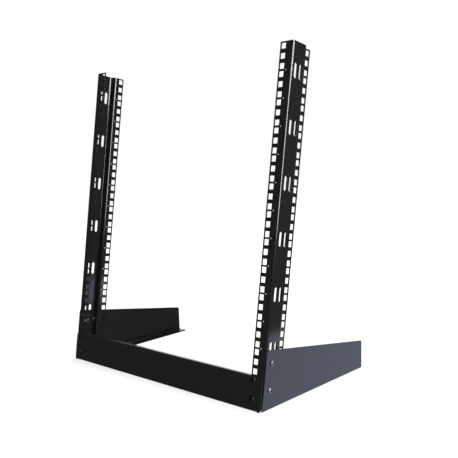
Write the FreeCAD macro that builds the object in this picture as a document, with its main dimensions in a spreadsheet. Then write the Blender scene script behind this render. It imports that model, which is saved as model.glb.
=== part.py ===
import FreeCAD, Part
import os
import Sketcher

# Two post open frame rack that stands on a table: two folded posts with square
# equipment holes, a front bar across their feet and two base brackets that
# reach back. The posts and the bar lean back a little from upright.
# All lengths are in millimetres, and the lean is in degrees.
# Frame: +Z up, +X to the right seen from the front, the front faces -Y.
# Origin: middle of the footprint, on the surface that the rack stands on.
# Leaning pieces are drawn in a frame of their own, whose Z runs up the post and
# whose Y = 0 plane is the front face of the posts.

doc = FreeCAD.newDocument("open_frame_rack")

# Driving sizes

SIZES = (
    # the standard hole pattern of 19 inch equipment
    ("unit_height", 44.45, "height of one unit"),
    ("unit_count", 12, "whole units above the front bar"),
    ("hole_low", 6.35, "lowest hole above the bottom of its unit"),
    ("hole_step", 15.875, "step from one hole to the next inside a unit"),
    ("hole_side", 9.5, "side of a square hole"),
    ("column_half", 232.55, "rack centre to the front hole column"),
    ("hole_edge", 6.3, "hole column to the free edge of its flange"),
    ("mark_width", 2.6, "width of the small mark at each unit line"),
    ("mark_offset", 8.1, "hole column to the column of marks"),
    # posts
    ("post_lean", 10, "degrees that the posts lean back from upright"),
    ("post_sheet", 2, "sheet thickness of a post"),
    ("bend_radius", 3, "outer radius of every bend"),
    ("flange_width", 26, "front flange, free edge to the outer face"),
    ("web_depth", 34, "web, front face to the joggle"),
    ("joggle_inset", 10, "how far the rear strip stands inboard of the web"),
    ("joggle_run", 5, "depth over which the joggle moves inboard"),
    ("post_depth", 58, "front face to the rear edge of the strip"),
    ("post_foot", 4, "lower end of the posts above the floor"),
    ("post_top", 0.5, "post above the top of the highest unit"),
    ("slot_length", 24, "side slot, end to end"),
    ("slot_width", 7, "side slot width"),
    ("slot_first", 11.5, "front face to the middle of the first side slot"),
    ("slot_pitch", 12.7, "first to second side slot of a pair"),
    ("slot_units", 2, "units from one pair of side slots to the next"),
    ("slot_pairs", 6, "pairs of side slots on a post"),
    # front bar
    ("bar_height", 57, "front bar height, along its face"),
    ("bar_gap", 0.8, "top of the front bar to the lowest unit"),
    ("bar_sheet", 2, "sheet thickness of the front bar"),
    ("bar_lip", 10, "depth of the bar's top and bottom lips"),
    ("bar_corner", 7, "radius of the bar's upper corners"),
    ("bar_toe", 5, "radius of the bar's lower corners"),
    ("bar_lip_end", 7, "end of the lower lip to the end of the bar"),
    ("bar_clearance", 1, "end of the upper lip to the post flange beside it"),
    ("relief_width", 1.5, "bend relief at the ends of the upper lip"),
    ("relief_depth", 4, "depth of a bend relief"),
    # base brackets
    ("bracket_sheet", 2, "sheet thickness of a base bracket"),
    ("bracket_setback", 1, "bracket front edge behind the post's front face"),
    ("bracket_length", 298, "rear edge behind the foot of the post's front face"),
    ("bracket_front", 102, "top of the bracket's front edge, along the post"),
    ("bracket_rear", 54, "height of a bracket at its rear edge"),
    ("bracket_lip", 22, "width of the lip on the floor, past the plate"),
    ("bracket_lip_start", 12, "front of the lip behind the foot of the post's front face"),
    ("bracket_corner", 3, "radius of the bracket's corners"),
    # fixings
    ("screw_bore", 6.5, "clearance bore for a fixing screw"),
    ("screw_depth", 16.5, "front face to the bracket's fixing screws"),
)

sizes = doc.addObject("Spreadsheet::Sheet", "Sizes")
for row, (alias, value, note) in enumerate(SIZES, start=1):
    sizes.set("A%d" % row, alias)
    sizes.set("B%d" % row, str(value))
    sizes.set("C%d" % row, note)
    sizes.setAlias("B%d" % row, alias)
doc.recompute()


def size(alias):
    """The number that the sheet holds for an alias."""
    return float(sizes.get(alias))


# Expressions that more than one piece uses

LEAN_SIN = "sin(Sizes.post_lean * 1 deg)"
LEAN_COS = "cos(Sizes.post_lean * 1 deg)"
OUTER_FACE = "(Sizes.column_half + Sizes.flange_width - Sizes.hole_edge)"
FREE_EDGE = "(Sizes.column_half - Sizes.hole_edge)"
UNITS_FOOT = "(Sizes.bar_height + Sizes.bar_gap)"
UNITS_TOP = "(%s + Sizes.unit_count * Sizes.unit_height)" % UNITS_FOOT
POST_FRONT = "((Sizes.bar_sheet * %s - Sizes.bracket_length) / 2)" % LEAN_COS
CUT_MARGIN = "1"
SAME_LINE = 1e-4


def leaning_depth(depth, height):
    """How far back a point of the leaning frame is."""
    return "((%s) * %s + (%s) * %s)" % (depth, LEAN_COS, height, LEAN_SIN)


def leaning_height(depth, height):
    """How far above the floor a point of the leaning frame is."""
    return "((%s) * %s - (%s) * %s)" % (height, LEAN_COS, depth, LEAN_SIN)


def level_line(depth, level):
    """The height along the post at which a level above the floor is met."""
    return "((%s + (%s) * %s) / %s)" % (level, depth, LEAN_SIN, LEAN_COS)


# Tools for bodies and sketches

def new_body(name):
    body = doc.addObject("PartDesign::Body", name)
    body.Label = name
    return body


def lean_back(body):
    """Leans a body back about the X axis."""
    axis = FreeCAD.Vector(-1, 0, 0)
    turn = FreeCAD.Rotation(axis, size("post_lean"))
    body.Placement = FreeCAD.Placement(FreeCAD.Vector(0, 0, 0), turn)
    body.setExpression("Placement.Rotation.Angle", "Sizes.post_lean * 1 deg")


def origin_feature(body, role):
    """One of the body's own origin planes or axes."""
    for feature in body.Origin.OriginFeatures:
        if feature.Role == role:
            return feature
    raise ValueError("no origin feature " + role)


def new_sketch(body, name, plane):
    """An empty sketch on one of the body's origin planes."""
    sketch = body.newObject("Sketcher::SketchObject", name)
    sketch.AttachmentSupport = [(origin_feature(body, plane), "")]
    sketch.MapMode = "FlatFace"
    return sketch


def bind(sketch, constraint, formula):
    """Adds a dimension to a sketch and ties it to the sheet."""
    index = sketch.addConstraint(constraint)
    sketch.setExpression("Constraints[%d]" % index, formula)


def locate(sketch, line, end, across, up):
    """Ties one end of a line to distances from the sketch's origin."""
    point = sketch.getPoint(line, end)
    for kind, value, formula in (("DistanceX", point.x, across), ("DistanceY", point.y, up)):
        bind(sketch, Sketcher.Constraint(kind, -1, 1, line, end, value), formula)


def draw_outline(sketch, corners):
    """A closed run of lines through corners, each a pair of formulas."""
    points = [FreeCAD.Vector(number(across), number(up), 0) for across, up in corners]
    last = len(points) - 1
    for index, point in enumerate(points):
        following = points[0 if index == last else index + 1]
        sketch.addGeometry(Part.LineSegment(point, following), False)
    for index in range(len(points)):
        following = 0 if index == last else index + 1
        sketch.addConstraint(Sketcher.Constraint("Coincident", index, 2, following, 1))
    for index, (across, up) in enumerate(corners):
        locate(sketch, index, 1, across, up)


def draw_rectangle(sketch, middle, width, height):
    """A rectangle about a middle point, with its size tied to the sheet."""
    across, up = number(middle[0]), number(middle[1])
    half_width, half_height = number(width) / 2, number(height) / 2
    points = [
        FreeCAD.Vector(across - half_width, up - half_height, 0),
        FreeCAD.Vector(across + half_width, up - half_height, 0),
        FreeCAD.Vector(across + half_width, up + half_height, 0),
        FreeCAD.Vector(across - half_width, up + half_height, 0),
    ]
    first = sketch.GeometryCount
    for index in range(4):
        sketch.addGeometry(Part.LineSegment(points[index], points[(index + 1) % 4]), False)
    for index in range(4):
        following = first + (index + 1) % 4
        sketch.addConstraint(Sketcher.Constraint("Coincident", first + index, 2, following, 1))
    for index, kind in enumerate(("Horizontal", "Vertical", "Horizontal", "Vertical")):
        sketch.addConstraint(Sketcher.Constraint(kind, first + index))
    bind(sketch, Sketcher.Constraint("DistanceX", first, 1, first, 2, 2 * half_width), width)
    bind(sketch, Sketcher.Constraint("DistanceY", first + 1, 1, first + 1, 2, 2 * half_height), height)
    corner_across = "%s - %s / 2" % (middle[0], width)
    corner_up = "%s - %s / 2" % (middle[1], height)
    locate(sketch, first, 1, corner_across, corner_up)


def draw_mark(sketch, middle, width):
    """A hole so small that its eight sides pass for round."""
    flat = "(%s / 2)" % width
    turn = "(%s * (sqrt(2) - 1) / 2)" % width
    outline = []
    for side, up in ((flat, turn), (turn, flat), ("-" + turn, flat), ("-" + flat, turn)):
        outline.append(("%s + %s" % (middle[0], side), "%s + %s" % (middle[1], up)))
    for side, up in (("-" + flat, turn), ("-" + turn, flat), (turn, flat), (flat, turn)):
        outline.append(("%s + %s" % (middle[0], side), "%s - %s" % (middle[1], up)))
    draw_outline(sketch, outline)


def draw_circle(sketch, middle, diameter):
    """A circle whose middle and diameter are tied to the sheet."""
    centre = FreeCAD.Vector(number(middle[0]), number(middle[1]), 0)
    upward = FreeCAD.Vector(0, 0, 1)
    index = sketch.addGeometry(Part.Circle(centre, upward, number(diameter) / 2), False)
    bind(sketch, Sketcher.Constraint("Diameter", index, number(diameter)), diameter)
    locate(sketch, index, 3, middle[0], middle[1])


def draw_upright_slot(sketch, middle, width, length):
    """A slot with round ends that runs along the sketch's vertical axis."""
    across, up = number(middle[0]), number(middle[1])
    radius = number(width) / 2
    reach = number(length) / 2 - radius
    upward = FreeCAD.Vector(0, 0, 1)
    top_circle = Part.Circle(FreeCAD.Vector(across, up + reach, 0), upward, radius)
    low_circle = Part.Circle(FreeCAD.Vector(across, up - reach, 0), upward, radius)
    half_turn = 3.141592653589793
    top = sketch.addGeometry(Part.ArcOfCircle(top_circle, 0, half_turn), False)
    low = sketch.addGeometry(Part.ArcOfCircle(low_circle, half_turn, 2 * half_turn), False)
    left = sketch.addGeometry(
        Part.LineSegment(
            FreeCAD.Vector(across - radius, up + reach, 0),
            FreeCAD.Vector(across - radius, up - reach, 0),
        ),
        False,
    )
    right = sketch.addGeometry(
        Part.LineSegment(
            FreeCAD.Vector(across + radius, up - reach, 0),
            FreeCAD.Vector(across + radius, up + reach, 0),
        ),
        False,
    )
    for first, first_end, second, second_end in (
        (top, 2, left, 1),
        (left, 2, low, 1),
        (low, 2, right, 1),
        (right, 2, top, 1),
    ):
        sketch.addConstraint(Sketcher.Constraint("Tangent", first, first_end, second, second_end))
    sketch.addConstraint(Sketcher.Constraint("Vertical", left))
    bind(sketch, Sketcher.Constraint("Radius", top, radius), "%s / 2" % width)
    locate(sketch, top, 3, middle[0], "%s + (%s - %s) / 2" % (middle[1], length, width))
    bind(
        sketch,
        Sketcher.Constraint("DistanceY", low, 3, top, 3, 2 * reach),
        "%s - %s" % (length, width),
    )


def number(formula):
    """The value of a formula now, for a sketch's first drawing."""
    value = sizes.evalExpression(formula.replace("Sizes.", ""))
    return float(value)


# Tools for features

def pad(body, name, sketch, length, midplane=False, towards_back=False):
    feature = body.newObject("PartDesign::Pad", name)
    feature.Profile = sketch
    feature.setExpression("Length", length)
    feature.Midplane = midplane
    feature.Reversed = towards_back
    doc.recompute()
    return feature


def pocket(body, name, sketch, depth):
    """Cuts a sketch into the body and makes sure that material has gone."""
    before = body.Shape.Volume
    feature = body.newObject("PartDesign::Pocket", name)
    feature.Profile = sketch
    feature.setExpression("Length", depth)
    doc.recompute()
    if body.Shape.Volume > before - 0.01:
        feature.Reversed = True
        doc.recompute()
    if body.Shape.Volume > before - 0.01:
        raise ValueError(name + " cuts nothing")
    return feature


def repeat_upward(body, name, originals, step, count):
    """Copies cuts up the body, one every step."""
    pattern = body.newObject("PartDesign::LinearPattern", name)
    pattern.Originals = originals
    pattern.Direction = (origin_feature(body, "Z_Axis"), [""])
    pattern.setExpression("Length", "(%s - 1) * %s" % (count, step))
    pattern.setExpression("Occurrences", count)
    body.Tip = pattern
    doc.recompute()
    return pattern


def mirror_across_middle(body, name, originals):
    """Copies features to the other side of the body's YZ plane."""
    mirrored = body.newObject("PartDesign::Mirrored", name)
    mirrored.Originals = originals
    mirrored.MirrorPlane = (origin_feature(body, "YZ_Plane"), [""])
    body.Tip = mirrored
    doc.recompute()
    return mirrored


def straight_edges(shape, direction, points):
    """Names of the edges that run in a direction through one of the points."""
    names = []
    for index, edge in enumerate(shape.Edges, start=1):
        if len(edge.Vertexes) != 2:
            continue
        start, end = edge.Vertexes[0].Point, edge.Vertexes[1].Point
        run = end - start
        if run.cross(direction).Length > SAME_LINE:
            continue
        for point in points:
            if (start - point).cross(direction).Length < SAME_LINE:
                names.append("Edge%d" % index)
    return names


def round_edges(body, name, direction, points, radius):
    """Rounds the edges that run in a direction through the points."""
    base = body.Tip
    names = straight_edges(base.Shape, direction, points)
    if len(names) < len(points):
        raise ValueError(name + " finds too few edges")
    feature = body.newObject("PartDesign::Fillet", name)
    feature.Base = (base, names)
    feature.setExpression("Radius", radius)
    doc.recompute()
    return feature


ALONG_X = FreeCAD.Vector(1, 0, 0)
ALONG_Y = FreeCAD.Vector(0, 1, 0)
ALONG_Z = FreeCAD.Vector(0, 0, 1)


# Posts
# The section runs from the free edge of the front flange round the outer
# corner, back along the web, inboard over the joggle and back along the strip.
# It is drawn for the right post, with x measured from the web's outer face.

def joggle_offset():
    """How far a sheet's inner corner at the joggle moves along the depth."""
    run = size("joggle_run")
    inset = size("joggle_inset")
    slant = (run * run + inset * inset) ** 0.5
    return size("post_sheet") * (slant - run) / inset


def screw_heights():
    """Heights along the post of the two screws through a bracket."""
    return ["%s %s Sizes.unit_height / 2" % (UNITS_FOOT, sign) for sign in ("-", "+")]


def make_right_post():
    body = new_body("right_post")
    lean_back(body)
    body.setExpression("Placement.Base.x", OUTER_FACE)
    body.setExpression("Placement.Base.y", POST_FRONT)

    section = new_sketch(body, "post_section", "XY_Plane")
    slant = "sqrt(Sizes.joggle_run ^ 2 + Sizes.joggle_inset ^ 2)"
    shift = "Sizes.post_sheet * (%s - Sizes.joggle_run) / Sizes.joggle_inset" % slant
    joggle_end = "Sizes.web_depth + Sizes.joggle_run"
    draw_outline(section, (
        ("-Sizes.flange_width", "0"),
        ("0", "0"),
        ("0", "Sizes.web_depth"),
        ("-Sizes.joggle_inset", joggle_end),
        ("-Sizes.joggle_inset", "Sizes.post_depth"),
        ("-Sizes.joggle_inset - Sizes.post_sheet", "Sizes.post_depth"),
        ("-Sizes.joggle_inset - Sizes.post_sheet", "%s - %s" % (joggle_end, shift)),
        ("-Sizes.post_sheet", "Sizes.web_depth - %s" % shift),
        ("-Sizes.post_sheet", "Sizes.post_sheet"),
        ("-Sizes.flange_width", "Sizes.post_sheet"),
    ))
    pad(body, "post_sheet_metal", section, "%s + Sizes.post_top" % UNITS_TOP)

    sheet = size("post_sheet")
    inset = size("joggle_inset")
    web = size("web_depth")
    end = web + size("joggle_run")
    shift_now = joggle_offset()
    outer_corners = (
        FreeCAD.Vector(0, 0, 0),
        FreeCAD.Vector(0, web, 0),
        FreeCAD.Vector(-inset - sheet, end - shift_now, 0),
    )
    inner_corners = (
        FreeCAD.Vector(-sheet, sheet, 0),
        FreeCAD.Vector(-sheet, web - shift_now, 0),
        FreeCAD.Vector(-inset, end, 0),
    )
    round_edges(body, "post_outer_bends", ALONG_Z, outer_corners, "Sizes.bend_radius")
    round_edges(body, "post_inner_bends", ALONG_Z, inner_corners, "Sizes.bend_radius - Sizes.post_sheet")

    foot = new_sketch(body, "post_foot_sketch", "YZ_Plane")
    near = "-" + CUT_MARGIN
    far = "Sizes.post_depth + " + CUT_MARGIN
    draw_outline(foot, (
        (near, level_line(near, "Sizes.post_foot")),
        (near, near),
        (far, near),
        (far, level_line(far, "Sizes.post_foot")),
    ))
    pocket(body, "post_level_foot", foot, "Sizes.flange_width + %s" % CUT_MARGIN)

    front_column = "Sizes.hole_edge - Sizes.flange_width"
    rear_column = "Sizes.post_depth - Sizes.hole_edge"
    lowest_unit = "%s - Sizes.unit_height" % UNITS_FOOT
    through_flange = "Sizes.post_sheet + %s" % CUT_MARGIN
    through_strip = "Sizes.joggle_inset + Sizes.post_sheet + %s" % CUT_MARGIN

    squares = []
    for name, plane, column, depth in (
        ("front_squares", "XZ_Plane", front_column, through_flange),
        ("rear_squares", "YZ_Plane", rear_column, through_strip),
    ):
        sketch = new_sketch(body, name + "_sketch", plane)
        for step in range(3):
            height = "%s + Sizes.hole_low + %d * Sizes.hole_step" % (lowest_unit, step)
            draw_rectangle(sketch, (column, height), "Sizes.hole_side", "Sizes.hole_side")
        squares.append(pocket(body, name, sketch, depth))
    repeat_upward(body, "square_rows", squares, "Sizes.unit_height", "(Sizes.unit_count + 1)")

    marks = []
    first_mark = "%s + Sizes.unit_height" % UNITS_FOOT
    for name, plane, column, depth in (
        ("front_marks", "XZ_Plane", front_column + " + Sizes.mark_offset", through_flange),
        ("rear_marks", "YZ_Plane", rear_column + " - Sizes.mark_offset", through_strip),
    ):
        sketch = new_sketch(body, name + "_sketch", plane)
        draw_mark(sketch, (column, first_mark), "Sizes.mark_width")
        marks.append(pocket(body, name, sketch, depth))
    repeat_upward(body, "mark_rows", marks, "Sizes.unit_height", "(Sizes.unit_count - 1)")

    sketch = new_sketch(body, "slot_pair_sketch", "YZ_Plane")
    units_down = "(1 + (Sizes.slot_pairs - 1) * Sizes.slot_units)"
    lowest_pair = "%s - %s * Sizes.unit_height" % (UNITS_TOP, units_down)
    for place in range(2):
        depth = "Sizes.slot_first + %d * Sizes.slot_pitch" % place
        draw_upright_slot(sketch, (depth, lowest_pair), "Sizes.slot_width", "Sizes.slot_length")
    pair = pocket(body, "slot_pair", sketch, through_flange)
    repeat_upward(body, "slot_rows", [pair], "Sizes.slot_units * Sizes.unit_height", "Sizes.slot_pairs")

    sketch = new_sketch(body, "web_screw_sketch", "YZ_Plane")
    for height in screw_heights():
        draw_circle(sketch, ("Sizes.screw_depth", height), "Sizes.screw_bore")
    pocket(body, "web_screw_bores", sketch, through_flange)
    return body


# Front bar
# A shallow channel whose face passes in front of the post flanges. Its upper lip
# stops between the posts, and its lower lip lies flat on the floor and runs
# nearly to the ends of the bar, under the feet of the posts.

def make_front_bar():
    body = new_body("front_bar")
    lean_back(body)
    body.setExpression("Placement.Base.y", POST_FRONT)

    lip_half = "(%s - Sizes.bar_clearance)" % FREE_EDGE
    lip_back = "Sizes.bar_lip - Sizes.bar_sheet"
    toe = "(-%s)" % level_line("Sizes.bar_sheet", "0")
    heel_depth = "(Sizes.bar_lip * %s - Sizes.bar_sheet)" % LEAN_COS
    heel = "(%s + Sizes.bar_lip * %s)" % (toe, LEAN_SIN)
    channel = new_sketch(body, "bar_section", "YZ_Plane")
    draw_outline(channel, (
        ("-Sizes.bar_sheet", toe),
        ("-Sizes.bar_sheet", "Sizes.bar_height"),
        (lip_back, "Sizes.bar_height"),
        (lip_back, "Sizes.bar_height - Sizes.bar_sheet"),
        ("0", "Sizes.bar_height - Sizes.bar_sheet"),
        ("0", level_line("0", "Sizes.bar_sheet")),
        ("%s - Sizes.bar_sheet * %s" % (heel_depth, LEAN_SIN),
         "%s + Sizes.bar_sheet * %s" % (heel, LEAN_COS)),
        (heel_depth, heel),
    ))
    toe_half = "(%s - Sizes.bar_lip_end)" % OUTER_FACE
    pad(body, "bar_channel", channel, "2 * %s" % toe_half, midplane=True)

    sheet = size("bar_sheet")
    height = size("bar_height")
    outer_corners = (
        FreeCAD.Vector(0, -sheet, number(toe)),
        FreeCAD.Vector(0, -sheet, height),
    )
    inner_corners = (
        FreeCAD.Vector(0, 0, number(level_line("0", "Sizes.bar_sheet"))),
        FreeCAD.Vector(0, 0, height - sheet),
    )
    round_edges(body, "bar_outer_bends", ALONG_X, outer_corners, "Sizes.bend_radius")
    round_edges(body, "bar_inner_bends", ALONG_X, inner_corners, "Sizes.bend_radius - Sizes.bar_sheet")

    spare = new_sketch(body, "bar_spare_lip_sketch", "XZ_Plane")
    width = "(%s - %s + %s)" % (toe_half, lip_half, CUT_MARGIN)
    spare_middle = ("%s + %s / 2" % (lip_half, width), "Sizes.bar_height")
    draw_rectangle(spare, spare_middle, width, "2 * Sizes.relief_depth")
    upper_lip_end = pocket(body, "bar_upper_lip_end", spare, "Sizes.bar_lip + %s" % CUT_MARGIN)

    tab = new_sketch(body, "bar_end_sketch", "XZ_Plane")
    draw_outline(tab, (
        (lip_half, "Sizes.bar_height / 2"),
        (toe_half, "Sizes.bar_height / 2"),
        (toe_half, "0"),
        (OUTER_FACE, "0"),
        (OUTER_FACE, "Sizes.bar_height"),
        (lip_half, "Sizes.bar_height"),
    ))
    right_end = pad(body, "bar_end", tab, "Sizes.bar_sheet")
    mirror_across_middle(body, "bar_other_end", [upper_lip_end, right_end])

    end_now = number(OUTER_FACE)
    for name, level, radius in (
        ("bar_upper_corners", height, "Sizes.bar_corner"),
        ("bar_lower_corners", 0, "Sizes.bar_toe"),
    ):
        corners = [FreeCAD.Vector(side * end_now, 0, level) for side in (-1, 1)]
        round_edges(body, name, ALONG_Y, corners, radius)

    cuts = new_sketch(body, "bar_cut_sketch", "XZ_Plane")
    for step in (0, 2):
        level = "%s - Sizes.unit_height + Sizes.hole_low + %d * Sizes.hole_step" % (UNITS_FOOT, step)
        draw_circle(cuts, ("Sizes.column_half", level), "Sizes.screw_bore")
    relief_middle = (
        "%s + Sizes.relief_width / 2" % lip_half,
        "Sizes.bar_height - Sizes.relief_depth / 2",
    )
    draw_rectangle(cuts, relief_middle, "Sizes.relief_width", "Sizes.relief_depth")
    cut = cut_towards_front(body, "bar_cuts", cuts, "Sizes.bar_sheet")
    mirror_across_middle(body, "bar_other_cuts", [cut])
    return body


def cut_towards_front(body, name, sketch, depth):
    """Cuts the same depth that an end pad has, on its own side of the plane."""
    before = body.Shape.Volume
    feature = body.newObject("PartDesign::Pocket", name)
    feature.Profile = sketch
    feature.Reversed = True
    feature.setExpression("Length", depth)
    doc.recompute()
    if body.Shape.Volume > before - 0.01:
        raise ValueError(name + " cuts nothing")
    return feature


# Base brackets
# A tapering plate against the outside of the post, with a lip on the floor that
# starts behind the lower lip of the bar. It stands upright, and only its front
# edge leans back with the post.

def make_right_bracket():
    body = new_body("right_base_bracket")
    body.setExpression("Placement.Base.x", OUTER_FACE)
    body.setExpression("Placement.Base.y", POST_FRONT)

    toe = "(Sizes.bracket_setback / %s)" % LEAN_COS
    front_top = (
        leaning_depth("Sizes.bracket_setback", "Sizes.bracket_front"),
        leaning_height("Sizes.bracket_setback", "Sizes.bracket_front"),
    )
    side = new_sketch(body, "bracket_side_sketch", "YZ_Plane")
    draw_outline(side, (
        (toe, "0"),
        ("Sizes.bracket_length", "0"),
        ("Sizes.bracket_length", "Sizes.bracket_rear"),
        front_top,
    ))
    pad(body, "bracket_plate", side, "Sizes.bracket_sheet")

    lip = new_sketch(body, "bracket_lip_sketch", "XY_Plane")
    middle = ("(Sizes.bracket_sheet - Sizes.bracket_lip) / 2", "(Sizes.bracket_length + %s) / 2" % toe)
    width = "(Sizes.bracket_lip + Sizes.bracket_sheet)"
    draw_rectangle(lip, middle, width, "(Sizes.bracket_length - %s)" % toe)
    pad(body, "bracket_floor_lip", lip, "Sizes.bracket_sheet")

    sheet = size("bracket_sheet")
    round_edges(body, "bracket_outer_bend", ALONG_Y, (FreeCAD.Vector(sheet, 0, 0),), "Sizes.bend_radius")
    inner_radius = "Sizes.bend_radius - Sizes.bracket_sheet"
    round_edges(body, "bracket_inner_bend", ALONG_Y, (FreeCAD.Vector(0, 0, sheet),), inner_radius)

    notch = new_sketch(body, "bracket_notch_sketch", "XY_Plane")
    reach = "(Sizes.bracket_lip + %s)" % CUT_MARGIN
    start = "Sizes.bracket_lip_start"
    draw_rectangle(notch, ("-%s / 2" % reach, "%s / 2" % start), reach, start)
    pocket(body, "bracket_front_notch", notch, "Sizes.bend_radius + %s" % CUT_MARGIN)

    corners = (
        FreeCAD.Vector(0, number(front_top[0]), number(front_top[1])),
        FreeCAD.Vector(0, size("bracket_length"), size("bracket_rear")),
    )
    round_edges(body, "bracket_top_corners", ALONG_X, corners, "Sizes.bracket_corner")
    lip_corners = [
        FreeCAD.Vector(-size("bracket_lip"), size(end), 0)
        for end in ("bracket_lip_start", "bracket_length")
    ]
    round_edges(body, "bracket_lip_corners", ALONG_Z, lip_corners, "Sizes.bracket_corner")

    bores = new_sketch(body, "bracket_screw_sketch", "YZ_Plane")
    for height in screw_heights():
        place = (
            leaning_depth("Sizes.screw_depth", height),
            leaning_height("Sizes.screw_depth", height),
        )
        draw_circle(bores, place, "Sizes.screw_bore")
    pocket(body, "bracket_screw_bores", bores, "Sizes.bracket_sheet + %s" % CUT_MARGIN)
    return body


def make_left_twin(body, name):
    """The same piece for the rack's left side."""
    twin = doc.addObject("Part::Mirroring", name)
    twin.Label = name
    twin.Source = body
    twin.Base = FreeCAD.Vector(0, 0, 0)
    twin.Normal = ALONG_X
    doc.recompute()
    return twin


right_post = make_right_post()
left_post = make_left_twin(right_post, "left_post")
front_bar = make_front_bar()
right_bracket = make_right_bracket()
left_bracket = make_left_twin(right_bracket, "left_base_bracket")
pieces = (left_post, right_post, front_bar, left_bracket, right_bracket)

# Tests of the document, then one file for each piece

doc.recompute()
for item in doc.Objects:
    if "Invalid" in item.State or "Error" in item.State:
        raise ValueError("%s failed: %s" % (item.Name, item.State))
for piece in pieces:
    if piece.Shape.isNull() or not piece.Shape.isValid():
        raise ValueError(piece.Label + " has no valid shape")
    if len(piece.Shape.Solids) != 1:
        raise ValueError("%s has %d solids" % (piece.Label, len(piece.Shape.Solids)))

os.makedirs("parts", exist_ok=True)
for piece in pieces:
    piece.Shape.exportStep("parts/%s.step" % piece.Label)
    box = piece.Shape.BoundBox
    print("%s: %.0f cubic mm, x %.1f to %.1f, y %.1f to %.1f, z %.1f to %.1f" % (
        piece.Label, piece.Shape.Volume, box.XMin, box.XMax, box.YMin, box.YMax, box.ZMin, box.ZMax))
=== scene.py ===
import math

import bmesh
import bpy
from mathutils import Matrix, Vector


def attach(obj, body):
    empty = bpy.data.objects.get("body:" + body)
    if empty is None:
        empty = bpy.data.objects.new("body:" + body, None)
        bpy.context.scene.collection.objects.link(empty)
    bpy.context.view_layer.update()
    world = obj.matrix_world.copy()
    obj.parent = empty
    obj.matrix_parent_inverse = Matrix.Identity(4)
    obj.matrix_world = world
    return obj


# Two post open frame rack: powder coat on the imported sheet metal, and its fixing
# screws, nuts and cage nuts at true size. Lengths are in metres, and in mm where
# a comment says so.

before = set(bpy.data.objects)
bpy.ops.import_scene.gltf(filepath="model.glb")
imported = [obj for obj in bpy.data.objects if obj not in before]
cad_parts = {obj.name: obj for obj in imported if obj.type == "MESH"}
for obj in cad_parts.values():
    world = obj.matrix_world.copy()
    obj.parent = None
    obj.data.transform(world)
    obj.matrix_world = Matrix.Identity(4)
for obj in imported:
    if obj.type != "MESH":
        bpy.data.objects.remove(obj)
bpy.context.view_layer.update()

MM = 0.001
LEAN = math.radians(10)
SIN, COS = math.sin(LEAN), math.cos(LEAN)
UP_POST = Vector((0, SIN, COS))

# Sizes of the rack that place the fixings, as in the part

UNIT = 44.45 * MM
UNIT_EDGE_TO_HOLE = 6.35 * MM
COLUMN = 232.55 * MM
UNITS_FOOT = 57.8 * MM
OUTER_FACE = 252.25 * MM
BRACKET_LENGTH = 298 * MM
BAR_SHEET = 2 * MM
POST_SHEET = 2 * MM
BRACKET_SHEET = 2 * MM
BRACKET_SCREW_DEPTH = 16.5 * MM
POST_FRONT = (BAR_SHEET * COS - BRACKET_LENGTH) / 2


def on_post(across, depth, height):
    """A point given by its depth and height in the leaning frame of the posts."""
    return Vector((across, POST_FRONT + depth * COS + height * SIN, height * COS - depth * SIN))


# Camera at the photograph's viewing angle

IMAGE_SIDE = 458
FOCAL_PIXELS = 678
SENSOR_WIDTH = 36
CAMERA_AZIMUTH = math.radians(42.94)
CAMERA_ELEVATION = math.radians(10.05)
CAMERA_ROLL = math.radians(-1.9)
CAMERA_PLACE = Vector((0.92207, -0.93138, 0.40584))
CAMERA_SHIFT = 48 / IMAGE_SIDE


def toward(azimuth, elevation):
    """The direction of a place seen from the rack. Azimuth 0 is in front of it."""
    return Vector((
        math.sin(azimuth) * math.cos(elevation),
        -math.cos(azimuth) * math.cos(elevation),
        math.sin(elevation),
    ))


def add_camera():
    back = toward(CAMERA_AZIMUTH, CAMERA_ELEVATION)
    right = Vector((0, 0, 1)).cross(back).normalized()
    up = back.cross(right)
    turn = Matrix((right, up, back)).transposed() @ Matrix.Rotation(CAMERA_ROLL, 3, "Z")
    camera_data = bpy.data.cameras.new("camera")
    camera_data.sensor_width = SENSOR_WIDTH
    camera_data.lens = FOCAL_PIXELS / IMAGE_SIDE * SENSOR_WIDTH
    camera_data.shift_y = CAMERA_SHIFT
    camera_data.clip_start = 0.01
    camera = bpy.data.objects.new("camera", camera_data)
    camera.matrix_world = Matrix.Translation(CAMERA_PLACE) @ turn.to_4x4()
    bpy.context.scene.collection.objects.link(camera)
    bpy.context.scene.camera = camera


# Node helpers

def new_material(name):
    """A material with an empty tree, with its nodes, its links and its output."""
    material = bpy.data.materials.new(name)
    material.use_nodes = True
    nodes = material.node_tree.nodes
    nodes.clear()
    output = nodes.new("ShaderNodeOutputMaterial")
    return material, nodes, material.node_tree.links, output


def glossy_shader(nodes, links, output):
    """A principled shader on the output, and the coordinates its patterns use."""
    shader = nodes.new("ShaderNodeBsdfPrincipled")
    links.new(shader.outputs["BSDF"], output.inputs["Surface"])
    return shader, nodes.new("ShaderNodeTexCoord").outputs["Object"]


def noise(nodes, links, coordinates, scale, detail, roughness=0.5):
    node = nodes.new("ShaderNodeTexNoise")
    node.inputs["Scale"].default_value = scale
    node.inputs["Detail"].default_value = detail
    node.inputs["Roughness"].default_value = roughness
    links.new(coordinates, node.inputs["Vector"])
    return node.outputs["Fac"]


def map_range(nodes, links, value, low, high, to_low, to_high):
    node = nodes.new("ShaderNodeMapRange")
    node.inputs["From Min"].default_value = low
    node.inputs["From Max"].default_value = high
    node.inputs["To Min"].default_value = to_low
    node.inputs["To Max"].default_value = to_high
    links.new(value, node.inputs["Value"])
    return node.outputs["Result"]


def math_node(nodes, links, operation, first, second):
    node = nodes.new("ShaderNodeMath")
    node.operation = operation
    for socket, value in zip(node.inputs, (first, second)):
        if isinstance(value, (int, float)):
            socket.default_value = value
        else:
            links.new(value, socket)
    return node.outputs["Value"]


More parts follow.
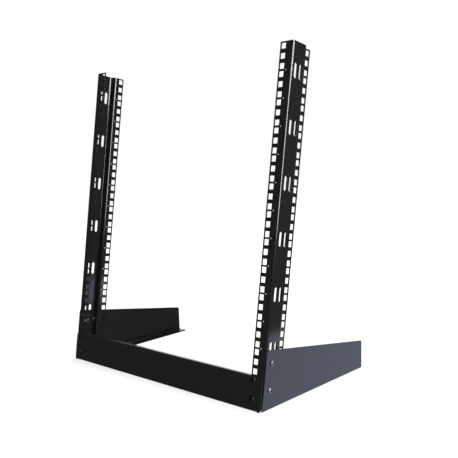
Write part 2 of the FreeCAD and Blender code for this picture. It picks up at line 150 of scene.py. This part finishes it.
def vector_node(nodes, links, operation, first, second):
    """A vector operation between a socket and a fixed vector."""
    node = nodes.new("ShaderNodeVectorMath")
    node.operation = operation
    links.new(first, node.inputs[0])
    node.inputs[1].default_value = second
    return node.outputs


def mix_colour(nodes, links, factor, first, second):
    node = nodes.new("ShaderNodeMix")
    node.data_type = "RGBA"
    links.new(factor, node.inputs["Factor"])
    node.inputs["A"].default_value = (*first, 1)
    node.inputs["B"].default_value = (*second, 1)
    return node.outputs["Result"]


def mix_shader(nodes, links, factor, first, second):
    """The first shader where the factor is 0, and the second where it is 1."""
    node = nodes.new("ShaderNodeMixShader")
    links.new(factor, node.inputs["Fac"])
    links.new(first, node.inputs[1])
    links.new(second, node.inputs[2])
    return node.outputs["Shader"]


def bump(nodes, links, height, distance, strength, normal=None):
    node = nodes.new("ShaderNodeBump")
    node.inputs["Distance"].default_value = distance
    node.inputs["Strength"].default_value = strength
    links.new(height, node.inputs["Height"])
    if normal:
        links.new(normal, node.inputs["Normal"])
    return node.outputs["Normal"]


# Materials of the rack

COAT_BLACK = (0.0052, 0.0052, 0.0052)
COAT_DUSTY = (0.0085, 0.0085, 0.0087)
COAT_GLOSS = 0.92
COAT_EDGE = 0.35 * MM
BLACK_STEEL = (0.045, 0.045, 0.046)
BLACK_STEEL_RUBBED = (0.09, 0.09, 0.092)
# Painted light: a lighter copy of the screw steel for the bracket screws, so that their spots from the
# side lamp show brighter than on the bar screws.
LIT_COPY_STEEL = (0.21, 0.21, 0.215)
LIT_COPY_STEEL_RUBBED = (0.33, 0.33, 0.338)
ZINC_DARK = (0.36, 0.37, 0.39)
ZINC_LIGHT = (0.5, 0.51, 0.53)


def powder_coat():
    """Black powder coat: an orange peel skin, fine grain, and faint dust."""
    material, nodes, links, output = new_material("powder_coat_black")
    shader, place = glossy_shader(nodes, links, output)
    peel = noise(nodes, links, place, 620, 2.5)
    grain = noise(nodes, links, place, 2600, 2)
    cloud = noise(nodes, links, place, 9, 4, 0.6)
    dust = noise(nodes, links, place, 140, 5, 0.7)

    tone = map_range(nodes, links, cloud, 0.3, 0.7, 0, 1)
    speck = map_range(nodes, links, dust, 0.62, 0.78, 0, 0.35)
    blend = math_node(nodes, links, "MAXIMUM", math_node(nodes, links, "MULTIPLY", tone, 0.5), speck)
    links.new(mix_colour(nodes, links, blend, COAT_BLACK, COAT_DUSTY), shader.inputs["Base Color"])
    links.new(map_range(nodes, links, grain, 0.3, 0.7, 0.09, 0.14), shader.inputs["Roughness"])
    shader.inputs["Specular IOR Level"].default_value = COAT_GLOSS

    edges = nodes.new("ShaderNodeBevel")
    edges.samples = 4
    edges.inputs["Radius"].default_value = COAT_EDGE
    skin = bump(nodes, links, peel, 0.03 * MM, 0.18, edges.outputs["Normal"])
    skin = bump(nodes, links, grain, 0.008 * MM, 0.15, skin)
    links.new(skin, shader.inputs["Normal"])
    return material


def screw_steel(name, dull, rubbed):
    """Steel of a screw, brighter where tools have rubbed it."""
    material, nodes, links, output = new_material(name)
    shader, place = glossy_shader(nodes, links, output)
    grain = noise(nodes, links, place, 1800, 3)
    rub = noise(nodes, links, place, 420, 4, 0.65)
    worn = map_range(nodes, links, rub, 0.5, 0.72, 0, 1)
    links.new(mix_colour(nodes, links, worn, dull, rubbed), shader.inputs["Base Color"])
    links.new(map_range(nodes, links, grain, 0.3, 0.7, 0.2, 0.3), shader.inputs["Roughness"])
    shader.inputs["Metallic"].default_value = 1
    links.new(bump(nodes, links, grain, 0.02 * MM, 0.25), shader.inputs["Normal"])
    return material


def zinc_steel():
    """Cage nuts and nuts: dull zinc with a faint mottling."""
    material, nodes, links, output = new_material("zinc_steel")
    shader, place = glossy_shader(nodes, links, output)
    mottle = noise(nodes, links, place, 700, 4, 0.6)
    grain = noise(nodes, links, place, 3000, 2)
    tone = map_range(nodes, links, mottle, 0.35, 0.65, 0, 1)
    links.new(mix_colour(nodes, links, tone, ZINC_DARK, ZINC_LIGHT), shader.inputs["Base Color"])
    links.new(map_range(nodes, links, mottle, 0.3, 0.7, 0.3, 0.45), shader.inputs["Roughness"])
    shader.inputs["Metallic"].default_value = 1
    links.new(bump(nodes, links, grain, 0.015 * MM, 0.3), shader.inputs["Normal"])
    return material


# Floor and backdrop

FLOOR_RADIUS = 5
FLOOR_DROP = 0.3 * MM
FLOOR_GREYS = ((0.74, 0.74, 0.74), (0.78, 0.78, 0.78))
SHADED_FLOOR = (0.34, 0.34, 0.34)
GLOW_NEAR = 0.715
GLOW_FAR = 1
# Painted reflection: gloss sees the floor as a bluish bright pool of light beside the right bracket and as
# a dim floor elsewhere, though the camera sees it white.
PAINTED_POOL_COLOUR = (0.71, 0.78, 1)
PAINTED_POOL_MIDDLE = (0.365, 0.28)
PAINTED_POOL_REACH = (0.19, 0.6)
PAINTED_DIM_FLOOR = (0.09, 0.09, 0.092)
ROOM_STRENGTH = 0.09


def light_path(nodes, links):
    """Whether the camera sees the shader, and whether gloss or glass does."""
    path = nodes.new("ShaderNodeLightPath")
    gloss = math_node(
        nodes, links, "MAXIMUM", path.outputs["Is Glossy Ray"], path.outputs["Is Transmission Ray"])
    return path.outputs["Is Camera Ray"], gloss


def distance_from(nodes, links, coordinates, middle, reach):
    """How far a place on the floor is from an oval's middle, 1 at its edge."""
    offset = vector_node(nodes, links, "SUBTRACT", coordinates, (*middle, 0))["Vector"]
    scaled = vector_node(nodes, links, "DIVIDE", offset, (*reach, 1))["Vector"]
    length = nodes.new("ShaderNodeVectorMath")
    length.operation = "LENGTH"
    links.new(scaled, length.inputs[0])
    return length.outputs["Value"]


def pale_floor():
    """A white table that keeps the shadow. Gloss sees a painted pool of light on it,
    a bright oval beside the right bracket, and painted dimness elsewhere."""
    material, nodes, links, output = new_material("pale_floor")
    place = nodes.new("ShaderNodeTexCoord").outputs["Object"]
    camera, gloss = light_path(nodes, links)
    fine = noise(nodes, links, place, 60, 3)
    plain = nodes.new("ShaderNodeBsdfDiffuse")
    links.new(mix_colour(nodes, links, fine, *FLOOR_GREYS), plain.inputs["Color"])

    # Painted pool of light, seen only by gloss: emission, not a lamp, makes the floor bright on the oval
    # and dim around it.
    from_painted_pool = distance_from(nodes, links, place, PAINTED_POOL_MIDDLE, PAINTED_POOL_REACH)
    in_painted_pool = map_range(nodes, links, from_painted_pool, 0.85, 1.05, 1, 0)
    reflected = nodes.new("ShaderNodeEmission")
    links.new(mix_colour(nodes, links, in_painted_pool, PAINTED_DIM_FLOOR, PAINTED_POOL_COLOUR), reflected.inputs["Color"])

    # The glow is weaker near the rack, so that the camera sees the shadow on the surface that the lamps
    # light.
    from_rack = distance_from(nodes, links, place, (0, 0), (1, 1))
    glow = nodes.new("ShaderNodeEmission")
    strength = map_range(nodes, links, from_rack, 0.5, 1.1, GLOW_NEAR, GLOW_FAR)
    links.new(strength, glow.inputs["Strength"])
    shaded = nodes.new("ShaderNodeBsdfDiffuse")
    shaded.inputs["Color"].default_value = (*SHADED_FLOOR, 1)
    white = nodes.new("ShaderNodeAddShader")
    links.new(shaded.outputs["BSDF"], white.inputs[0])
    links.new(glow.outputs["Emission"], white.inputs[1])

    surface = mix_shader(nodes, links, gloss, plain.outputs["BSDF"], reflected.outputs["Emission"])
    surface = mix_shader(nodes, links, camera, surface, white.outputs["Shader"])
    links.new(surface, output.inputs["Surface"])
    material.cycles.emission_sampling = "NONE"
    return material


def add_floor():
    mesh = bpy.data.meshes.new("floor")
    shape = bmesh.new()
    bmesh.ops.create_circle(shape, cap_ends=True, segments=96, radius=FLOOR_RADIUS)
    bmesh.ops.translate(shape, verts=shape.verts, vec=(0, 0, -FLOOR_DROP))
    shape.to_mesh(mesh)
    shape.free()
    floor = bpy.data.objects.new("floor", mesh)
    floor.data.materials.append(pale_floor())
    bpy.context.scene.collection.objects.link(floor)


def add_world():
    """White for the camera, and for gloss where it faces the backdrop. The rest of
    the room is dim."""
    world = bpy.data.worlds.new("studio")
    world.use_nodes = True
    nodes, links = world.node_tree.nodes, world.node_tree.links
    nodes.clear()
    output = nodes.new("ShaderNodeOutputWorld")
    room, white = [nodes.new("ShaderNodeBackground") for _ in range(2)]
    for background, strength in ((room, ROOM_STRENGTH), (white, 1)):
        background.inputs["Color"].default_value = (1, 1, 1, 1)
        background.inputs["Strength"].default_value = strength
    direction = nodes.new("ShaderNodeTexCoord").outputs["Generated"]
    away = -toward(CAMERA_AZIMUTH, 0)
    facing = vector_node(nodes, links, "DOT_PRODUCT", direction, away)["Value"]
    backdrop = map_range(nodes, links, facing, 0.75, 0.95, 0, 1)
    camera, gloss = light_path(nodes, links)
    reflected = math_node(nodes, links, "MULTIPLY", gloss, backdrop)
    bright = math_node(nodes, links, "MAXIMUM", camera, reflected)
    surface = mix_shader(nodes, links, bright, room.outputs["Background"], white.outputs["Background"])
    links.new(surface, output.inputs["Surface"])
    bpy.context.scene.world = world


# Lamps

def add_softbox(name, aim, azimuth, elevation, distance, width, height, radiance):
    """A soft lamp that faces a point from a direction given in degrees."""
    direction = toward(math.radians(azimuth), math.radians(elevation))
    lamp = bpy.data.lights.new(name, "AREA")
    lamp.shape = "RECTANGLE"
    lamp.size, lamp.size_y = width, height
    lamp.energy = radiance * math.pi * width * height
    holder = bpy.data.objects.new(name, lamp)
    holder.location = Vector(aim) + direction * distance
    holder.rotation_euler = direction.to_track_quat("Z", "Y").to_euler()
    bpy.context.scene.collection.objects.link(holder)


def add_lamps():
    """The key lamp draws the line down the right post's bend, and the side lamp the
    spots on the bracket screws."""
    add_softbox("key_light", (0.25, -0.1, 0.3), azimuth=72, elevation=23.5, distance=2.14,
                width=0.8, height=1.45, radiance=17)
    add_softbox("side_light", (0.254, -0.13, 0.06), azimuth=118, elevation=30, distance=1.8,
                width=0.36, height=0.36, radiance=28)
    add_softbox("top_light", (0, 0, 0), azimuth=195, elevation=66, distance=2.4,
                width=2, height=0.9, radiance=9.6)


# Mesh helpers

ROUND_STEPS = 48
SHARP_ANGLE = math.radians(32)


def lathe(profile):
    """A closed solid turned about Z from a run of (radius, height) in mm."""
    shape = bmesh.new()
    rings = []
    for radius, height in profile:
        if radius == 0:
            rings.append([shape.verts.new((0, 0, height * MM))])
            continue
        rings.append([
            shape.verts.new((
                radius * MM * math.cos(2 * math.pi * step / ROUND_STEPS),
                radius * MM * math.sin(2 * math.pi * step / ROUND_STEPS),
                height * MM,
            ))
            for step in range(ROUND_STEPS)
        ])
    for upper, lower in zip(rings, rings[1:]):
        for step in range(ROUND_STEPS):
            following = (step + 1) % ROUND_STEPS
            corners = [upper[step % len(upper)], lower[step % len(lower)]]
            if len(lower) > 1:
                corners.append(lower[following])
            if len(upper) > 1:
                corners.append(upper[following])
            shape.faces.new(corners)
    bmesh.ops.recalc_face_normals(shape, faces=shape.faces)
    return shape


def ring(profile):
    """A solid turned about Z from a closed run of (radius, height) in mm."""
    return lathe(profile + profile[:1])


def to_mesh(shape, name):
    mesh = bpy.data.meshes.new(name)
    bmesh.ops.remove_doubles(shape, verts=shape.verts, dist=1e-7)
    bmesh.ops.recalc_face_normals(shape, faces=shape.faces)
    shape.to_mesh(mesh)
    shape.free()
    return mesh


def block(low, high):
    """A box between two corners in mm."""
    shape = bmesh.new()
    bmesh.ops.create_cube(shape, size=1)
    for vertex in shape.verts:
        vertex.co = Vector([
            (low[axis] if vertex.co[axis] < 0 else high[axis]) * MM for axis in range(3)
        ])
    return shape


def combine(base, tools, operation):
    """The base mesh with the tools cut from it, or kept only inside them."""
    carrier = bpy.data.objects.new("carrier", base)
    bpy.context.scene.collection.objects.link(carrier)
    helpers = []
    for tool in tools:
        helper = bpy.data.objects.new("tool", tool)
        bpy.context.scene.collection.objects.link(helper)
        helpers.append(helper)
        modifier = carrier.modifiers.new("cut", "BOOLEAN")
        modifier.operation = operation
        modifier.solver = "EXACT"
        modifier.object = helper
    bpy.context.view_layer.update()
    depsgraph = bpy.context.evaluated_depsgraph_get()
    result = bpy.data.meshes.new_from_object(carrier.evaluated_get(depsgraph))
    for item in [carrier] + helpers:
        bpy.data.objects.remove(item)
    return result


def join(meshes, name):
    """One smooth shaded mesh from several, in the same place, with sharp edges kept."""
    shape = bmesh.new()
    for mesh in meshes:
        shape.from_mesh(mesh)
    joined = bpy.data.meshes.new(name)
    shape.to_mesh(joined)
    shape.free()
    for polygon in joined.polygons:
        polygon.use_smooth = True
    joined.set_sharp_from_angle(angle=SHARP_ANGLE)
    return joined


# Fixings, drawn in mm with the seat at Z = 0 and the head or nut on the +Z side

THREAD_PITCH = 0.8
THREAD_RADIUS = 2.45
THREAD_CORE = 2.1
THREAD_STEPS = 24
THREAD_ROWS_PER_PITCH = 6
THREAD_TAPER = 1.2
BORE_RADIUS = 2.4
BORE_MOUTH = 2.8
HEAD_RADIUS = 4.85
HEAD_STRAIGHT = 0.45
HEAD_DOME = 2.7
BAR_SCREW_LENGTH = 13
BRACKET_SCREW_LENGTH = 12


def threaded_rod(top, bottom):
    """A rod along Z with a screw thread, from heights top to bottom."""
    rows = int((top - bottom) / THREAD_PITCH * THREAD_ROWS_PER_PITCH)
    shape = bmesh.new()
    rings = []
    for row in range(rows + 1):
        height = top + (bottom - top) * row / rows
        taper = max(0, min(1, (height - bottom) / THREAD_TAPER))
        verts = []
        for step in range(THREAD_STEPS):
            phase = (height / THREAD_PITCH + step / THREAD_STEPS) % 1
            crest = 1 - abs(2 * phase - 1)
            radius = THREAD_CORE + (THREAD_RADIUS - THREAD_CORE) * min(1, crest * 1.25) * taper
            angle = 2 * math.pi * step / THREAD_STEPS
            verts.append(shape.verts.new((
                radius * MM * math.cos(angle), radius * MM * math.sin(angle), height * MM)))
        rings.append(verts)
    for upper, lower in zip(rings, rings[1:]):
        for step in range(THREAD_STEPS):
            following = (step + 1) % THREAD_STEPS
            shape.faces.new((upper[step], lower[step], lower[following], upper[following]))
    shape.faces.new(rings[0])
    shape.faces.new(reversed(rings[-1]))
    return to_mesh(shape, "rod")


def recess_bar(turn):
    """One bar of the cross recess, which widens upward."""
    shape = bmesh.new()
    ends = []
    for half_length, half_width, height in ((1.1, 0.45, 0.75), (2.75, 0.72, 3.9)):
        corners = ((1, 1), (-1, 1), (-1, -1), (1, -1))
        ends.append([
            shape.verts.new(Vector((x * half_length, y * half_width, height)) * MM) for x, y in corners
        ])
    low, high = ends
    shape.faces.new(low)
    shape.faces.new(high)
    for index in range(4):
        following = (index + 1) % 4
        shape.faces.new((low[index], low[following], high[following], high[index]))
    bmesh.ops.rotate(shape, verts=shape.verts, matrix=Matrix.Rotation(math.radians(turn), 3, "Z"))
    return to_mesh(shape, "recess_bar")


def pan_head():
    """A rounded pan head with a cross recess."""
    dome = []
    for step in range(13):
        angle = math.radians(7.5 * step)
        dome.append((HEAD_RADIUS * math.sin(angle), HEAD_STRAIGHT + HEAD_DOME * math.cos(angle)))
    underside = [(HEAD_RADIUS, 0.25), (4.72, 0.08), (4.55, 0), (0, 0)]
    head = to_mesh(lathe(dome + underside), "head")
    return combine(head, [recess_bar(0), recess_bar(90)], "DIFFERENCE")


def screw_mesh(length):
    """A pan head screw whose rod starts just inside the head."""
    return join([pan_head(), threaded_rod(0.2, -length)], "screw")


def hex_nut_mesh():
    """A washer on the seat with a hexagon nut on it."""
    washer = to_mesh(ring([(2.65, 0), (4.9, 0), (5, 0.1), (5, 0.9), (4.9, 1), (2.65, 1)]), "washer")
    shape = bmesh.new()
    bmesh.ops.create_cone(
        shape, cap_ends=True, segments=6, radius1=4.62 * MM, radius2=4.62 * MM, depth=4 * MM,
        matrix=Matrix.Translation((0, 0, 3 * MM)))
    hexagon = to_mesh(shape, "hexagon")
    rounds = to_mesh(
        lathe([(0, 5.01), (3.85, 5.01), (4.7, 4.5), (4.7, 1.5), (3.85, 0.99), (0, 0.99)]), "rounds")
    body = combine(hexagon, [rounds], "INTERSECT")
    bore = to_mesh(
        lathe([(0, 5.2), (2.75, 5.2), (BORE_RADIUS, 4.7), (BORE_RADIUS, 1.3), (2.75, 0.8), (0, 0.8)]),
        "bore")
    return join([washer, combine(body, [bore], "DIFFERENCE")], "hex_nut")


def cage_nut_mesh():
    """A square nut in its spring cage, whose lips reach into the square hole."""
    front = to_mesh(block((-6.1, -4.6, 0), (6.1, 4.6, 0.7)), "front")
    window = to_mesh(block((-3.6, -3.6, -0.5), (3.6, 3.6, 1.2)), "window")
    cage = [combine(front, [window], "DIFFERENCE")]
    for side in (-1, 1):
        for name, inner, outer, half_width, low, high in (
            ("side", 5.4, 6.1, 3.4, 0.7, 5.6),
            ("hook", 4.4, 6.1, 3.4, 5.6, 6.3),
            ("lip", 3.9, 4.6, 2.9, -1.7, 0.1),
        ):
            near, far = sorted((side * inner, side * outer))
            cage.append(to_mesh(block((near, -half_width, low), (far, half_width, high)), name))
    nut = block((-4.9, -4.9, 0.9), (4.9, 4.9, 5.3))
    bmesh.ops.bevel(nut, geom=nut.edges[:], offset=0.45 * MM, segments=2, affect="EDGES")
    bore = to_mesh(
        lathe([(0, 5.6), (BORE_MOUTH, 5.6), (BORE_RADIUS, 5.1), (BORE_RADIUS, 0.6), (0, 0.6)]), "bore")
    return join(cage + [combine(to_mesh(nut, "nut"), [bore], "DIFFERENCE")], "cage_nut")


def place_fixing(name, mesh, material, seat, outward, along):
    """Stands a fixing on its seat, with its head or nut facing outward."""
    z_axis = outward.normalized()
    x_axis = (along - along.dot(z_axis) * z_axis).normalized()
    y_axis = z_axis.cross(x_axis)
    turn = Matrix((x_axis, y_axis, z_axis)).transposed()
    piece = bpy.data.objects.new(name, mesh.copy())
    piece.data.materials.append(material)
    bpy.context.scene.collection.objects.link(piece)
    piece.matrix_world = Matrix.Translation(seat) @ turn.to_4x4()
    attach(piece, "root")


def spun(axis, degrees):
    """The posts' upward direction turned about an axis, as screws and nuts stop at
    angles of their own."""
    return Matrix.Rotation(math.radians(degrees), 3, axis) @ UP_POST


def add_fixings():
    """Screws and nuts. Behind the bar they take the lowest and the highest hole place
    of the unit below the twelve. In the brackets they sit half a unit below and above
    the foot of the twelve."""
    black = screw_steel("black_steel", BLACK_STEEL, BLACK_STEEL_RUBBED)
    # Painted light: the bracket screws take a lighter copy of the same screw steel, which brightens their
    # spots from the side lamp.
    lit_copy_steel = screw_steel("screw_steel_lit_copy", LIT_COPY_STEEL, LIT_COPY_STEEL_RUBBED)
    zinc = zinc_steel()
    bar_screw, bracket_screw = screw_mesh(BAR_SCREW_LENGTH), screw_mesh(BRACKET_SCREW_LENGTH)
    hex_nut, cage_nut = hex_nut_mesh(), cage_nut_mesh()
    out_front = Vector((0, -COS, SIN))
    for side, sign in (("left", -1), ("right", 1)):
        out_side = Vector((sign, 0, 0))
        for place, bar_height, bracket_height, turn, bracket_turn in (
            ("lower", UNITS_FOOT - UNIT + UNIT_EDGE_TO_HOLE, UNITS_FOOT - UNIT / 2, 52, 22),
            ("upper", UNITS_FOOT - UNIT_EDGE_TO_HOLE, UNITS_FOOT + UNIT / 2, 15, 15),
        ):
            turn += 37 * sign
            bracket_turn += 80 * sign
            ending = "%s_%s" % (side, place)
            seat = on_post(sign * COLUMN, -BAR_SHEET, bar_height)
            place_fixing("bar_screw_" + ending, bar_screw, black, seat, out_front, spun(out_front, turn))
            seat = on_post(sign * COLUMN, POST_SHEET, bar_height)
            place_fixing("cage_nut_" + ending, cage_nut, zinc, seat, -out_front, Vector((1, 0, 0)))
            seat = on_post(sign * (OUTER_FACE + BRACKET_SHEET), BRACKET_SCREW_DEPTH, bracket_height)
            place_fixing("bracket_screw_" + ending, bracket_screw, lit_copy_steel, seat, out_side,
                         spun(out_side, bracket_turn))
            seat = on_post(sign * (OUTER_FACE - POST_SHEET), BRACKET_SCREW_DEPTH, bracket_height)
            place_fixing("bracket_nut_" + ending, hex_nut, zinc, seat, -out_side, spun(out_side, turn + 8))


def dress_frame():
    """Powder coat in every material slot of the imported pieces."""
    coat = powder_coat()
    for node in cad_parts.values():
        for index in range(len(node.data.materials)):
            node.data.materials[index] = coat


bpy.context.scene.view_settings.view_transform = "Standard"
add_camera()
add_world()
add_floor()
add_lamps()
dress_frame()
add_fixings()
